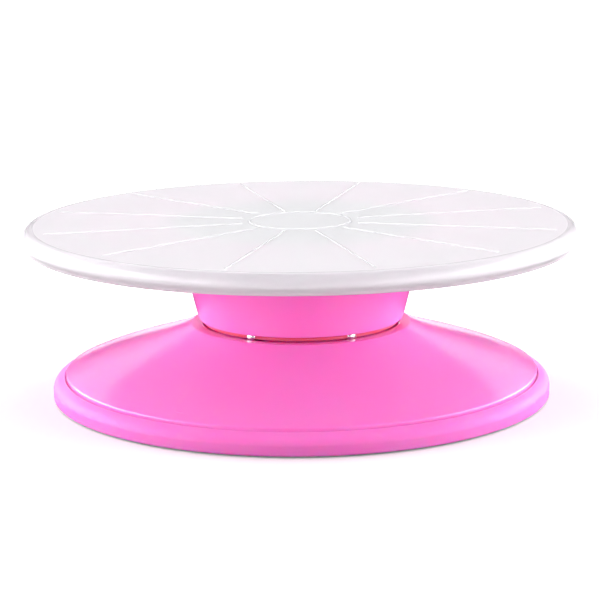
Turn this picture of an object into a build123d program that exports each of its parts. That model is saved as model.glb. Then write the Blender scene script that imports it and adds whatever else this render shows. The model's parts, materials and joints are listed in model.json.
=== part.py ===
from build123d import *
import os
from math import sqrt, hypot, radians, cos, sin

# Cake turntable: a round plate on a tapered collar that turns on six balls over a
# broad cone-shaped base. Millimetres, +Z up, the Z axis is the axis of rotation, and
# Z = 0 is the table the rubber feet stand on. Profiles are drawn as (radius, height).

# ---------------------------------------------------------------- driving sizes
# turntable plate
PLATE_R = 140.0            # widest point of the rim
PLATE_TOP_Z = 87.8         # flat top face
PLATE_FLAT_R = 135.2       # where the flat top turns into the shoulder
PLATE_IN_FLAT_R = 133.8    # the same on the underside
PLATE_WIDE_Z = 82.2        # height of the widest point
PLATE_RIM_Z = 77.5         # lowest point of the rim
PLATE_T = 2.8              # thickness of the top
RIM_T = 2.6                # thickness of the rim wall
LIP_R = 136.8              # middle of the rim's rounded lower edge
GUIDE_N = 12               # raised guide lines on the top
GUIDE_START = 15.0         # angle of the first guide line
GUIDE_R0, GUIDE_R1 = 30.0, 130.0
GUIDE_W = 1.4
GUIDE_H = 0.35
GUIDE_SINK = 0.2           # how far the guides reach down into the top
GUIDE_RING_R = 25.5

# collar under the plate
COLLAR_R0 = 51.99          # outer radius at its lower end, before rounding
COLLAR_Z0 = 38.85          # underside
COLLAR_SLOPE = 0.257       # outward lean, mm per mm of height
COLLAR_T = 2.4
COLLAR_FLOOR_T = 2.6
COLLAR_HUB_TOP_Z = 60.0
POST_PITCH_R = 34.0        # screw posts inside the collar
POST_R = 6.0
POST_TOP_Z = 75.0
SCREW_N = 6                # screws in the collar, and as many in the base ring
COLLAR_SCREW_SEAT_Z = 72.0

# base
DECK_Z = 36.3              # flat deck on top of the cone
DECK_T = 2.6
SHELL_T = 2.4
SHELL_R = 120.0            # outer edge of the cone cover
SEAM_GAP = 0.4             # fine gap between cover and ring
LEDGE_Z = 9.0              # ledge of the ring that carries the cover
LEDGE_T = 2.5
RING_R = 126.4             # widest point of the base ring
RING_Z0 = 0.8              # the feet hold the ring this far off the table
RING_IN_R = 103.0
RING_TOP_Z = 11.0          # ring beside the seam, a small step below the cover
FLANK = [                  # outer surface of the cone: radius, height
    (60.0, 34.16), (65.4, 31.77), (71.0, 29.61), (76.6, 27.65), (82.2, 25.82),
    (87.9, 24.06), (93.5, 22.32), (99.2, 20.55), (104.8, 18.69), (110.4, 16.68),
    (115.9, 14.47),
]
FLANK_TOP = (55.8, DECK_Z)
FLANK_END = (SHELL_R, 12.62)
HUB_R = 13.0               # hubs of the base and of the collar, at their roots
HUB_TIP_R = HUB_R - 0.4    # the same at their free ends
HUB_BOTTOM_Z = 18.8
HUB_BORE_R = 8.0
RING_SCREW_PITCH_R = 111.3
FOOT_PITCH_R = 114.5
FOOT_R = 7.0
FOOT_N = 6
FOOT_START = 30            # angle of the first foot
FOOT_STEP_Z = 3.4          # shoulder between the foot's pad and its stem

# ball race
BALL_R = 3.0
BALL_PITCH_R = 47.5
BALL_N = 6
BALL_Z = (DECK_Z + COLLAR_Z0) / 2
RACE_R = 3.15              # cross-section radius of the race grooves
RACE_CLEAR = 0.03          # ball to groove, top and bottom
CAGE_R0, CAGE_R1 = 42.9, 49.5
CAGE_T = 1.6
POCKET_R = 3.08            # spherical pocket that snaps over the ball

# pivot
SPINDLE_R = 5.0
SPINDLE_END_Z = 17.3
SPINDLE_TOP_Z = 55.5
FLANGE_R = 9.0             # spindle flange, seated in the collar's underside
FLANGE_FLATS = 15.0        # across its two flats
FLANGE_T = 2.5
BUSH_IN_R = 5.05
BUSH_R = 7.98
RETAINING_T = 1.5          # washers stacked below the spindle's end
LOCK_T = 1.3

# ---------------------------------------------------------------- worked-out sizes
plate_under_z = PLATE_TOP_Z - PLATE_T
ledge_under_z = LEDGE_Z - LEDGE_T
lock_z = SPINDLE_END_Z - RETAINING_T - LOCK_T

# groove centre beyond the ball centre, and half-width of a groove in its flat face
race_shift = RACE_R - BALL_R - RACE_CLEAR
race_half = sqrt(RACE_R**2 - (BALL_Z + race_shift - DECK_Z) ** 2)
race_r0 = BALL_PITCH_R - race_half
race_r1 = BALL_PITCH_R + race_half

os.makedirs("parts", exist_ok=True)


def save(builder, name):
    """Label a finished piece and write its file."""
    builder.part.label = name
    export_step(builder.part, f"parts/{name}.step")


def inside(points, depth):
    """Points moved by depth square to the line they make, towards the underside."""
    moved = []
    for i, (radius, z) in enumerate(points):
        before = points[max(i - 1, 0)]
        after = points[min(i + 1, len(points) - 1)]
        run, rise = after[0] - before[0], after[1] - before[1]
        length = hypot(run, rise)
        moved.append((radius + depth * rise / length, z - depth * run / length))
    return moved


def circles_at(builder, radius, z):
    """Circular edges of the given radius whose centre is at height z."""
    return (
        builder.edges().filter_by(GeomType.CIRCLE)
        .filter_by(lambda edge: abs(edge.radius - radius) < 0.01
                   and abs(edge.center().Z - z) < 0.01)
    )


def pan_head_screw(seat_z, head_h, face_r, dome, rim, shank_r, length, point_r, point_h,
                   slot_length, slot_width, slot_depth):
    """Screw on the Z axis, head down, with a cross recess.

    dome and rim are (radius, distance below the seat) on the head's outline;
    the point narrows to point_r over the last point_h of the shank's length.
    """
    head_z = seat_z - head_h
    tip_z = seat_z + length
    dome_point = (dome[0], seat_z - dome[1])
    rim_point = (rim[0], seat_z - rim[1])
    with BuildPart() as screw:
        with BuildSketch(Plane.XZ):
            with BuildLine():
                Line((0, tip_z), (0, head_z))
                Line((0, head_z), (face_r, head_z))
                Spline((face_r, head_z), dome_point, rim_point, tangents=((1, 0), (0.1, 1)))
                Polyline(rim_point, (rim[0], seat_z), (shank_r, seat_z),
                         (shank_r, tip_z - point_h), (point_r, tip_z), (0, tip_z))
            make_face()
        revolve(axis=Axis.Z)
        with BuildSketch(Plane.XY.offset(head_z)):
            Rectangle(slot_length, slot_width)
            Rectangle(slot_width, slot_length)
        extrude(amount=slot_depth, taper=12, mode=Mode.SUBTRACT)
    return screw


def save_screw_circle(screw, pitch_r, name):
    """Write SCREW_N copies of a screw, spaced round a pitch circle, as one piece."""
    with BuildPart() as screws:
        with PolarLocations(pitch_r, SCREW_N):
            add(screw.part)
    save(screws, name)


# ---------------------------------------------------------------- turntable plate
PLATE_RIB_T = 1.8
BOSS_WEB_T = 2.0
PLATE_RINGS = [            # stiffening rings: middle radius, thickness
    (65.9, 2.2), (89.0, 1.8), (112.0, 1.8),
]
PLATE_PILOT_R = 1.95
PLATE_PILOT_DEPTH = 9.4

lip_half = RIM_T / 2
lip_z = PLATE_RIM_Z + lip_half
rim_mid_r = PLATE_R - RIM_T / 2
rim_in = (PLATE_R - RIM_T, PLATE_WIDE_Z - 0.4)
plate_mid_z = PLATE_TOP_Z - PLATE_T / 2
guide_z0 = PLATE_TOP_Z - GUIDE_SINK
guide_z1 = PLATE_TOP_Z + GUIDE_H

with BuildPart() as turntable_plate:
    # stiffening ribs and screw bosses, made too tall and then trimmed to the
    # space under the middle of the plate's wall
    with BuildSketch(Plane.XY.offset(80.6)):
        with PolarLocations(102.0, 12):
            Rectangle(72.0, PLATE_RIB_T)
    extrude(amount=6.5)
    for ring_r, ring_t in PLATE_RINGS:
        with BuildSketch(Plane.XY.offset(81.0)):
            Circle(ring_r + ring_t / 2)
            Circle(ring_r - ring_t / 2, mode=Mode.SUBTRACT)
        extrude(amount=6.0)
    # innermost ring and the webs through the bosses
    with BuildSketch(Plane.XY.offset(81.5)):
        Circle(59.9)
        Circle(57.9, mode=Mode.SUBTRACT)
        with PolarLocations(33.0, 6):
            Rectangle(52.0, BOSS_WEB_T)
    extrude(amount=5.5)
    with BuildSketch(Plane.XY.offset(POST_TOP_Z)):
        with PolarLocations(POST_PITCH_R, SCREW_N):
            Circle(POST_R)
    extrude(amount=12.0)
    with BuildSketch(Plane.XZ):
        with BuildLine():
            Polyline((0, 70), (0, plate_mid_z), (PLATE_FLAT_R, plate_mid_z))
            Spline((PLATE_FLAT_R, plate_mid_z), (rim_mid_r, PLATE_WIDE_Z),
                   tangents=((1, 0), (0, -1)))
            Polyline((rim_mid_r, PLATE_WIDE_Z), (LIP_R, 79.0), (LIP_R, 70), (0, 70))
        make_face()
    revolve(axis=Axis.Z, mode=Mode.INTERSECT)
    # the plate itself: flat top, rounded shoulder, rim leaning in to a rounded lip
    with BuildSketch(Plane.XZ):
        with BuildLine():
            Line((0, plate_under_z), (0, PLATE_TOP_Z))
            Line((0, PLATE_TOP_Z), (PLATE_FLAT_R, PLATE_TOP_Z))
            Spline((PLATE_FLAT_R, PLATE_TOP_Z), (138.6, 86.2), (PLATE_R, PLATE_WIDE_Z),
                   tangents=((1, 0), (0, -1)))
            Spline((PLATE_R, PLATE_WIDE_Z), (LIP_R + lip_half, lip_z),
                   tangents=((0, -1), (-0.35, -1)))
            ThreePointArc((LIP_R + lip_half, lip_z), (LIP_R, PLATE_RIM_Z),
                          (LIP_R - lip_half, lip_z))
            Spline((LIP_R - lip_half, lip_z), rim_in, tangents=((0.3, 1), (0, 1)))
            Spline(rim_in, (PLATE_IN_FLAT_R, plate_under_z), tangents=((0, 1), (-1, 0)))
            Line((PLATE_IN_FLAT_R, plate_under_z), (0, plate_under_z))
        make_face()
    revolve(axis=Axis.Z)
    # pilot holes for the collar screws
    with BuildSketch(Plane.XY.offset(POST_TOP_Z)):
        with PolarLocations(POST_PITCH_R, SCREW_N):
            Circle(PLATE_PILOT_R)
    extrude(amount=PLATE_PILOT_DEPTH, mode=Mode.SUBTRACT)
    # raised guide lines and the small ring round the centre of the top
    with BuildSketch(Plane.XY.offset(guide_z0)):
        with PolarLocations((GUIDE_R0 + GUIDE_R1) / 2, GUIDE_N, start_angle=GUIDE_START):
            SlotOverall(GUIDE_R1 - GUIDE_R0, GUIDE_W)
    extrude(amount=GUIDE_SINK + GUIDE_H, taper=25)
    with BuildSketch(Plane.XZ):
        with BuildLine():
            Polyline(
                (GUIDE_RING_R - 0.75, guide_z0), (GUIDE_RING_R + 0.75, guide_z0),
                (GUIDE_RING_R + 0.45, guide_z1), (GUIDE_RING_R - 0.45, guide_z1),
                close=True,
            )
        make_face()
    revolve(axis=Axis.Z)
save(turntable_plate, "turntable_plate")

# ---------------------------------------------------------------- collar
COLLAR_WEB_T = 2.0
COLLAR_TRIM_Z = 80.0       # top of the space the webs are trimmed to
COLLAR_BORE_TOP_Z = 56.0

wall_r = COLLAR_T * hypot(1, COLLAR_SLOPE)            # wall measured level
race_floor_z = COLLAR_Z0 + 4.0                        # thicker floor over the race
floor_z = COLLAR_Z0 + COLLAR_FLOOR_T
web_z = floor_z - 0.4                                 # webs start inside the floor


def collar_r(z):
    """Outer radius of the collar at height z."""
    return COLLAR_R0 + COLLAR_SLOPE * (z - COLLAR_Z0)


with BuildPart() as neck_collar:
    # low webs from the hub to the wall and tall ones from the posts to the wall,
    # trimmed to the middle of the wall
    with BuildSketch(Plane.XY.offset(web_z)):
        with PolarLocations(34.0, 12):
            Rectangle(46.0, COLLAR_WEB_T)
    extrude(amount=9.0)
    with BuildSketch(Plane.XY.offset(web_z)):
        with PolarLocations(48.0, 6):
            Rectangle(20.0, COLLAR_WEB_T)
    extrude(amount=22.0)
    with BuildSketch(Plane.XZ):
        with BuildLine():
            Polyline(
                (0, web_z),
                (collar_r(web_z) - wall_r / 2, web_z),
                (collar_r(COLLAR_TRIM_Z) - wall_r / 2, COLLAR_TRIM_Z),
                (0, COLLAR_TRIM_Z),
                close=True,
            )
        make_face()
    revolve(axis=Axis.Z, mode=Mode.INTERSECT)
    # tapered wall, floor and hub, with the upper race groove in the underside
    with BuildSketch(Plane.XZ):
        with BuildLine():
            Line((0, COLLAR_Z0), (race_r0, COLLAR_Z0))
            ThreePointArc(
                (race_r0, COLLAR_Z0),
                (BALL_PITCH_R, BALL_Z + BALL_R + RACE_CLEAR),
                (race_r1, COLLAR_Z0),
            )
            Polyline(
                (race_r1, COLLAR_Z0),
                (COLLAR_R0, COLLAR_Z0),
                (collar_r(plate_under_z), plate_under_z),
                (collar_r(plate_under_z) - wall_r, plate_under_z),
                (collar_r(race_floor_z) - wall_r, race_floor_z),
                (BALL_PITCH_R - 4.6, race_floor_z),
                (BALL_PITCH_R - 6.0, floor_z),
                (HUB_R, floor_z),
                (HUB_TIP_R, COLLAR_HUB_TOP_Z),
                (0, COLLAR_HUB_TOP_Z),
                (0, COLLAR_Z0),
            )
        make_face()
    revolve(axis=Axis.Z)
    # posts that reach up to the plate's bosses, rooted 1 mm inside the floor
    with BuildSketch(Plane.XY.offset(floor_z - 1.0)):
        with PolarLocations(POST_PITCH_R, SCREW_N):
            Circle(POST_R)
    extrude(amount=POST_TOP_Z - floor_z + 1.0)
    # deep counterbored screw holes, open underneath
    with Locations(Plane(origin=(0, 0, COLLAR_Z0), z_dir=(0, 0, -1))):
        with PolarLocations(POST_PITCH_R, SCREW_N):
            CounterBoreHole(radius=2.2, counter_bore_radius=4.2,
                            counter_bore_depth=COLLAR_SCREW_SEAT_Z - COLLAR_Z0,
                            depth=POST_TOP_Z - COLLAR_Z0)
    # blind bore for the spindle and a flat-sided seat for its flange
    with BuildSketch(Plane.XY.offset(COLLAR_Z0)):
        Circle(SPINDLE_R + 0.02)
    extrude(amount=COLLAR_BORE_TOP_Z - COLLAR_Z0, mode=Mode.SUBTRACT)
    with BuildSketch(Plane.XY.offset(COLLAR_Z0)):
        Circle(FLANGE_R + 0.1)
        Rectangle(20.0, FLANGE_FLATS + 0.2, mode=Mode.INTERSECT)
    extrude(amount=FLANGE_T, mode=Mode.SUBTRACT)
    # rounded lower edge of the wall
    fillet(circles_at(neck_collar, COLLAR_R0, COLLAR_Z0), radius=1.0)
save(neck_collar, "neck_collar")

# ---------------------------------------------------------------- screws
# self-tapping screws that hold the collar to the plate
collar_screw = pan_head_screw(
    seat_z=COLLAR_SCREW_SEAT_Z, head_h=2.6, face_r=1.2, dome=(3.1, 2.0), rim=(3.8, 0.8),
    shank_r=1.9, length=12.0, point_r=0.9, point_h=1.6,
    slot_length=4.2, slot_width=0.9, slot_depth=1.5,
)
save_screw_circle(collar_screw, POST_PITCH_R, "collar_screws")

# smaller screws that hold the base ring to the cone cover
ring_screw = pan_head_screw(
    seat_z=ledge_under_z, head_h=2.2, face_r=1.0, dome=(2.5, 1.7), rim=(3.0, 0.7),
    shank_r=1.42, length=6.2, point_r=0.7, point_h=1.2,
    slot_length=3.4, slot_width=0.75, slot_depth=1.2,
)
save_screw_circle(ring_screw, RING_SCREW_PITCH_R, "base_ring_screws")

# screw in the end of the spindle
pivot_screw = pan_head_screw(
    seat_z=lock_z, head_h=3.3, face_r=1.6, dome=(4.0, 2.4), rim=(4.75, 1.0),
    shank_r=2.45, length=14.0, point_r=1.75, point_h=0.7,
    slot_length=5.2, slot_width=1.1, slot_depth=1.9,
)
save(pivot_screw, "pivot_screw")

# ---------------------------------------------------------------- pivot
# spindle: plain shaft, flange with two flats in the collar's seat, hole in its lower end
with BuildPart() as pivot_spindle:
    with BuildSketch(Plane.XY.offset(SPINDLE_END_Z)):
        Circle(SPINDLE_R)
    extrude(amount=SPINDLE_TOP_Z - SPINDLE_END_Z)
    with BuildSketch(Plane.XY.offset(COLLAR_Z0)):
        Circle(FLANGE_R)
        Rectangle(20.0, FLANGE_FLATS, mode=Mode.INTERSECT)
    extrude(amount=FLANGE_T)
    chamfer(pivot_spindle.edges().filter_by(GeomType.CIRCLE).sort_by(Axis.Z)[-1], length=0.8)
    chamfer(pivot_spindle.edges().filter_by(GeomType.CIRCLE).sort_by(Axis.Z)[0], length=0.5)
    with BuildSketch(Plane.XY.offset(SPINDLE_END_Z)):
        Circle(2.5)
    extrude(amount=13.0, mode=Mode.SUBTRACT)
save(pivot_spindle, "pivot_spindle")

# flanged bush pressed into the base hub from above
BUSH_FLANGE_R = 11.5
BUSH_FLANGE_T = 1.5
bush_top_z = DECK_Z + BUSH_FLANGE_T
with BuildPart() as pivot_bush:
    with BuildSketch(Plane.XZ):
        with BuildLine():
            Polyline(
                (BUSH_IN_R, HUB_BOTTOM_Z), (BUSH_R - 0.5, HUB_BOTTOM_Z),
                (BUSH_R, HUB_BOTTOM_Z + 0.5), (BUSH_R, DECK_Z), (BUSH_FLANGE_R, DECK_Z),
                (BUSH_FLANGE_R, bush_top_z - 0.3), (BUSH_FLANGE_R - 0.3, bush_top_z),
                (BUSH_IN_R + 0.5, bush_top_z), (BUSH_IN_R, bush_top_z - 0.5),
                close=True,
            )
        make_face()
    revolve(axis=Axis.Z)
save(pivot_bush, "pivot_bush")

# thrust washer that lies on the retaining washer, under the base hub
with BuildPart() as thrust_washer:
    with BuildSketch(Plane.XY.offset(SPINDLE_END_Z)):
        Circle(11.0)
        Circle(5.15, mode=Mode.SUBTRACT)
    extrude(amount=1.3)
    chamfer(thrust_washer.edges().filter_by(GeomType.CIRCLE), length=0.2)
save(thrust_washer, "thrust_washer")

# washer clamped against the end of the spindle, its outer edges chamfered
with BuildPart() as retaining_washer:
    with BuildSketch(Plane.XY.offset(SPINDLE_END_Z - RETAINING_T)):
        Circle(10.5)
        Circle(2.65, mode=Mode.SUBTRACT)
    extrude(amount=RETAINING_T)
    chamfer(retaining_washer.edges().filter_by(GeomType.CIRCLE).sort_by(SortBy.RADIUS)[-2:],
            length=0.3)
save(retaining_washer, "retaining_washer")

# split spring washer, drawn flat as it is when tightened
with BuildPart() as lock_washer:
    with BuildSketch(Plane.XY.offset(lock_z)):
        Circle(4.5)
        Circle(2.6, mode=Mode.SUBTRACT)
        with Locations(Location((3.5, 0, 0), (0, 0, 15))):
            Rectangle(3.4, 0.8, mode=Mode.SUBTRACT)
    extrude(amount=LOCK_T)
save(lock_washer, "lock_washer")

# ---------------------------------------------------------------- balls and cage
# flat ring with six pockets whose curved walls snap over the balls; the pockets
# break out through its outer edge, so the balls show in the gap
CAGE_SOFT = 0.25           # chamfer of the outer edges
cage_z0 = BALL_Z - CAGE_T / 2
cage_z1 = BALL_Z + CAGE_T / 2
with BuildPart() as ball_cage:
    with BuildSketch(Plane.XZ):
        with BuildLine():
            Polyline(
                (CAGE_R0, cage_z0), (CAGE_R1 - CAGE_SOFT, cage_z0),
                (CAGE_R1, cage_z0 + CAGE_SOFT), (CAGE_R1, cage_z1 - CAGE_SOFT),
                (CAGE_R1 - CAGE_SOFT, cage_z1), (CAGE_R0, cage_z1),
                close=True,
            )
        make_face()
    revolve(axis=Axis.Z)
    with Locations((0, 0, BALL_Z)):
        with PolarLocations(BALL_PITCH_R, BALL_N):
            Sphere(POCKET_R, mode=Mode.SUBTRACT)
save(ball_cage, "ball_cage")

for n in range(BALL_N):
    angle = radians(360.0 / BALL_N * n)
    with BuildPart() as bearing_ball:
        with Locations((BALL_PITCH_R * cos(angle), BALL_PITCH_R * sin(angle), BALL_Z)):
            Sphere(BALL_R)
    save(bearing_ball, f"bearing_ball_{n + 1}")

# ---------------------------------------------------------------- base cover
SHELL_WEB_Z = 19.5         # lower edge of the webs and of their ring
SHELL_WEB_H = 20.0         # before trimming

flank_all = [FLANK_TOP] + FLANK + [FLANK_END]
flank_mid = inside(flank_all, SHELL_T / 2)
flank_in = inside(flank_all, SHELL_T)
edge_in = (SHELL_R - 2.6, flank_in[-1][1] + 0.6)      # top of the edge wall's inside
deck_under_z = DECK_Z - DECK_T
race_under_z = DECK_Z - 3.8                           # thicker deck under the race

with BuildPart() as base_shell:
    # twelve webs, one ring and the screw bosses, trimmed to the middle of the
    # cover's wall
    with BuildSketch(Plane.XY.offset(SHELL_WEB_Z)):
        with PolarLocations(57.0, 6, start_angle=30):
            Rectangle(90.0, 2.0)
        with PolarLocations(85.0, 6):
            Rectangle(31.0, 1.8)
    extrude(amount=SHELL_WEB_H)
    with BuildSketch(Plane.XY.offset(SHELL_WEB_Z)):
        Circle(71.0)
        Circle(69.2, mode=Mode.SUBTRACT)
    extrude(amount=SHELL_WEB_H)
    with BuildSketch(Plane.XY.offset(LEDGE_Z)):
        with PolarLocations(RING_SCREW_PITCH_R, SCREW_N):
            Circle(3.5)
    extrude(amount=12.0)
    with BuildSketch(Plane.XZ):
        with BuildLine():
            Line((0, 0), (0, DECK_Z - 1.9))
            Polyline((0, DECK_Z - 1.9), (40.5, DECK_Z - 1.9), (42.0, DECK_Z - 3.0),
                     (53.2, DECK_Z - 3.0), flank_mid[1])
            Spline(*flank_mid[1:])
            Polyline(flank_mid[-1], (flank_mid[-1][0], 0), (0, 0))
        make_face()
    revolve(axis=Axis.Z, mode=Mode.INTERSECT)
    # the cover: deck with the lower race groove, cone flank, edge wall, hub
    with BuildSketch(Plane.XZ):
        with BuildLine():
            Line((HUB_BORE_R, HUB_BOTTOM_Z), (HUB_BORE_R, DECK_Z))
            Line((HUB_BORE_R, DECK_Z), (race_r0, DECK_Z))
            ThreePointArc(
                (race_r0, DECK_Z),
                (BALL_PITCH_R, BALL_Z - BALL_R - RACE_CLEAR),
                (race_r1, DECK_Z),
            )
            Line((race_r1, DECK_Z), FLANK_TOP)
            Spline(*flank_all, tangents=((1, -0.52), (1, -0.48)))
            Polyline(FLANK_END, (SHELL_R, LEDGE_Z), (edge_in[0], LEDGE_Z), edge_in)
            Spline(edge_in, *reversed(flank_in[1:-1]))
            Polyline(
                flank_in[1], (53.8, race_under_z), (42.9, race_under_z), (41.5, deck_under_z),
                (HUB_R, deck_under_z), (HUB_TIP_R, HUB_BOTTOM_Z), (HUB_BORE_R, HUB_BOTTOM_Z),
            )
        make_face()
    revolve(axis=Axis.Z)
    # pilot holes for the ring screws
    with BuildSketch(Plane.XY.offset(LEDGE_Z)):
        with PolarLocations(RING_SCREW_PITCH_R, SCREW_N):
            Circle(1.45)
    extrude(amount=3.9, mode=Mode.SUBTRACT)
    # soft corner where the deck turns into the flank, and a fine one at the seam
    fillet(circles_at(base_shell, *FLANK_TOP), radius=3.0)
    fillet(circles_at(base_shell, *FLANK_END), radius=1.2)
save(base_shell, "base_shell")

# ---------------------------------------------------------------- base ring
RING_WALL_IN_R = 123.8     # inside of the outer wall
RING_IN_WALL_T = 2.2
RING_IN_Z0 = 2.2           # lower edge of the inner wall
RING_BEND_Z = 5.4          # where the outer wall starts to curve inward
RING_RIB_Z = 2.6           # lower edge of the cross ribs
SOCKET_Z = 1.7             # lower edge of the foot sockets
RIB_SINK = 0.5             # how far ribs and sockets run into the ledge

seam_r = SHELL_R + SEAM_GAP
ring_in_wall_r = RING_IN_R + RING_IN_WALL_T
ring_shoulder = (123.2, RING_TOP_Z - 1.2)

with BuildPart() as base_ring:
    # rounded outer wall, ledge and inner wall: a channel open underneath
    with BuildSketch(Plane.XZ):
        with BuildLine():
            Polyline((seam_r, LEDGE_Z), (seam_r, RING_TOP_Z - 0.3), (seam_r + 0.3, RING_TOP_Z),
                     ring_shoulder)
            Spline(ring_shoulder, (125.3, 8.2), (RING_R, RING_BEND_Z),
                   tangents=((1, -0.45), (0, -1)))
            Line((RING_R, RING_BEND_Z), (RING_R, RING_Z0 + 0.7))
            ThreePointArc((RING_R, RING_Z0 + 0.7), (RING_R - 0.205, RING_Z0 + 0.205),
                          (RING_R - 0.7, RING_Z0))
            Polyline(
                (RING_R - 0.7, RING_Z0), (RING_WALL_IN_R, RING_Z0),
                (RING_WALL_IN_R, ledge_under_z), (ring_in_wall_r, ledge_under_z),
                (ring_in_wall_r, RING_IN_Z0), (RING_IN_R, RING_IN_Z0),
                (RING_IN_R, LEDGE_Z), (seam_r, LEDGE_Z),
            )
        make_face()
    revolve(axis=Axis.Z)
    # low rib that centres the cover
    with BuildSketch(Plane.XY.offset(LEDGE_Z - RIB_SINK)):
        Circle(SHELL_R - 2.9)
        Circle(SHELL_R - 4.8, mode=Mode.SUBTRACT)
    extrude(amount=1.8)
    # cross ribs in the channel
    with BuildSketch(Plane.XY.offset(RING_RIB_Z)):
        with PolarLocations(114.5, 12, start_angle=15):
            Rectangle(20.0, 1.8)
    extrude(amount=ledge_under_z - RING_RIB_Z + RIB_SINK)
    # foot sockets
    with BuildSketch(Plane.XY.offset(SOCKET_Z)):
        with PolarLocations(FOOT_PITCH_R, FOOT_N, start_angle=FOOT_START):
            Circle(8.8)
    extrude(amount=ledge_under_z - SOCKET_Z + RIB_SINK)
    with Locations(Plane(origin=(0, 0, SOCKET_Z), z_dir=(0, 0, -1))):
        with PolarLocations(FOOT_PITCH_R, FOOT_N, start_angle=FOOT_START):
            CounterBoreHole(radius=2.55, counter_bore_radius=FOOT_R + 0.1,
                            counter_bore_depth=FOOT_STEP_Z - SOCKET_Z, depth=5.1)
    # clearance holes for the ring screws
    with BuildSketch(Plane.XY.offset(ledge_under_z)):
        with PolarLocations(RING_SCREW_PITCH_R, SCREW_N):
            Circle(1.7)
    extrude(amount=LEDGE_T, mode=Mode.SUBTRACT)
save(base_ring, "base_ring")

# ---------------------------------------------------------------- rubber feet
STEM_R = 2.5
STEM_TOP_Z = 6.6
with BuildPart() as one_foot:
    with BuildSketch(Plane.XZ):
        with BuildLine():
            Polyline(
                (0, 0), (FOOT_R - 0.6, 0), (FOOT_R, 0.6), (FOOT_R, FOOT_STEP_Z),
                (STEM_R, FOOT_STEP_Z), (STEM_R, STEM_TOP_Z - 0.4),
                (STEM_R - 0.4, STEM_TOP_Z), (0, STEM_TOP_Z),
                close=True,
            )
        make_face()
    revolve(axis=Axis.Z)
for n in range(FOOT_N):
    with BuildPart() as foot:
        with PolarLocations(FOOT_PITCH_R, 1, start_angle=FOOT_START + 360.0 / FOOT_N * n):
            add(one_foot.part)
    save(foot, f"foot_{n + 1}")
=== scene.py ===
# A cake turntable. It stands on the floor (z = 0) and turns about the Z axis: a white plate
# with raised lines, a flaring pink collar under it, a ball race, a pink cone cover and a base
# ring on feet. Piece sizes are in mm; node sizes and the finished scene are in metres.
import bmesh
import bpy
import json
import math
from mathutils import Matrix, Vector


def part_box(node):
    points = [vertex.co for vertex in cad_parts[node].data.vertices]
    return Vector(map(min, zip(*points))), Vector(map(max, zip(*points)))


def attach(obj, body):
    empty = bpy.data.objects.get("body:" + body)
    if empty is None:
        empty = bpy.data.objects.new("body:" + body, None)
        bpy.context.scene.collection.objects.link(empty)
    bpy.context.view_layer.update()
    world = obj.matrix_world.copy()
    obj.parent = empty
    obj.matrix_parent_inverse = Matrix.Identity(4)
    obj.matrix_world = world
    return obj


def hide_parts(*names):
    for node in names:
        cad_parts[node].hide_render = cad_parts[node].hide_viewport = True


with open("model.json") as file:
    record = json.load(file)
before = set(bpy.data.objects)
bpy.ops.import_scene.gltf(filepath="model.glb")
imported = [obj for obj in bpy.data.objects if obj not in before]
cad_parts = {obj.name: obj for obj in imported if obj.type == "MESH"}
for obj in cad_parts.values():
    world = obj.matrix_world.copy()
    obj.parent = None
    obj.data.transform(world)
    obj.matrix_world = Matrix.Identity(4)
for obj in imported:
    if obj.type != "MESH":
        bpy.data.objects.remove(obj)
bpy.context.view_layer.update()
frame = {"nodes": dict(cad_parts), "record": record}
MM = 0.001


def top_of(node):
    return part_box(node)[1].z / MM


def bottom_of(node):
    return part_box(node)[0].z / MM


def radius_of(node):
    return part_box(node)[1].x / MM


# ------------------------------------------------------------------ shared sizes, mm
LINE_HEIGHT = 0.35                                   # raised lines on the plate
PLATE_TOP = top_of("turntable_plate") - LINE_HEIGHT  # the flat between the lines
PLATE_THICK = 2.8
PLATE_UNDER = PLATE_TOP - PLATE_THICK
PLATE_R = radius_of("turntable_plate") + 0.004
DECK = top_of("base_shell")                          # flat top of the cone cover
COLLAR_LOW = bottom_of("neck_collar")
BALL_Z = sum(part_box("bearing_ball_1")[i].z for i in (0, 1)) / 2 / MM

POST_CIRCLE = 34.0       # six collar posts and plate bosses
JOINT_Z = 75.0           # where posts and bosses meet
POST_SEAT = 72.0         # where the collar screw heads bear
COVER_CIRCLE = 111.3     # six screws joining cover and base ring

RACE_PITCH = 47.5
RACE_R = 3.15            # section radius of a groove
RACE_OFFSET = 0.12       # groove centre from ball centre, away from the groove floor
RACE_DEPTH = RACE_R - RACE_OFFSET
RACE_HALF = math.sqrt(RACE_R**2 - (BALL_Z + RACE_OFFSET - DECK) ** 2)


# ------------------------------------------------------------------ node tools
class Signal:
    """A node output; + - and * on it make Math nodes."""

    def __init__(self, socket):
        self.socket = socket

    def join(self, operation, first, second):
        # the third value is unused by these operations
        return Signal(math_node(self.socket.id_data, operation, first, second, 0.0))

    def unary(self, operation):
        return self.join(operation, self, 0.0)

    def __add__(self, other):
        return self.join("ADD", self, other)

    def __radd__(self, other):
        return self.join("ADD", other, self)

    def __sub__(self, other):
        return self.join("SUBTRACT", self, other)

    def __rsub__(self, other):
        return self.join("SUBTRACT", other, self)

    def __mul__(self, other):
        return self.join("MULTIPLY", self, other)


def put(socket, value):
    """Link an output to an input socket, or set the input's value."""
    if isinstance(value, Signal):
        value = value.socket
    if isinstance(value, bpy.types.NodeSocket):
        socket.id_data.links.new(value, socket)
    else:
        socket.default_value = value


def add_node(tree, kind, inputs=None, **settings):
    node = tree.nodes.new(kind)
    for key, value in settings.items():
        setattr(node, key, value)
    for key, value in (inputs or {}).items():
        put(node.inputs[key], value)
    return node


def math_node(tree, operation, *values):
    inputs = dict(enumerate(values))
    return add_node(tree, "ShaderNodeMath", inputs, operation=operation).outputs[0]


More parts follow.
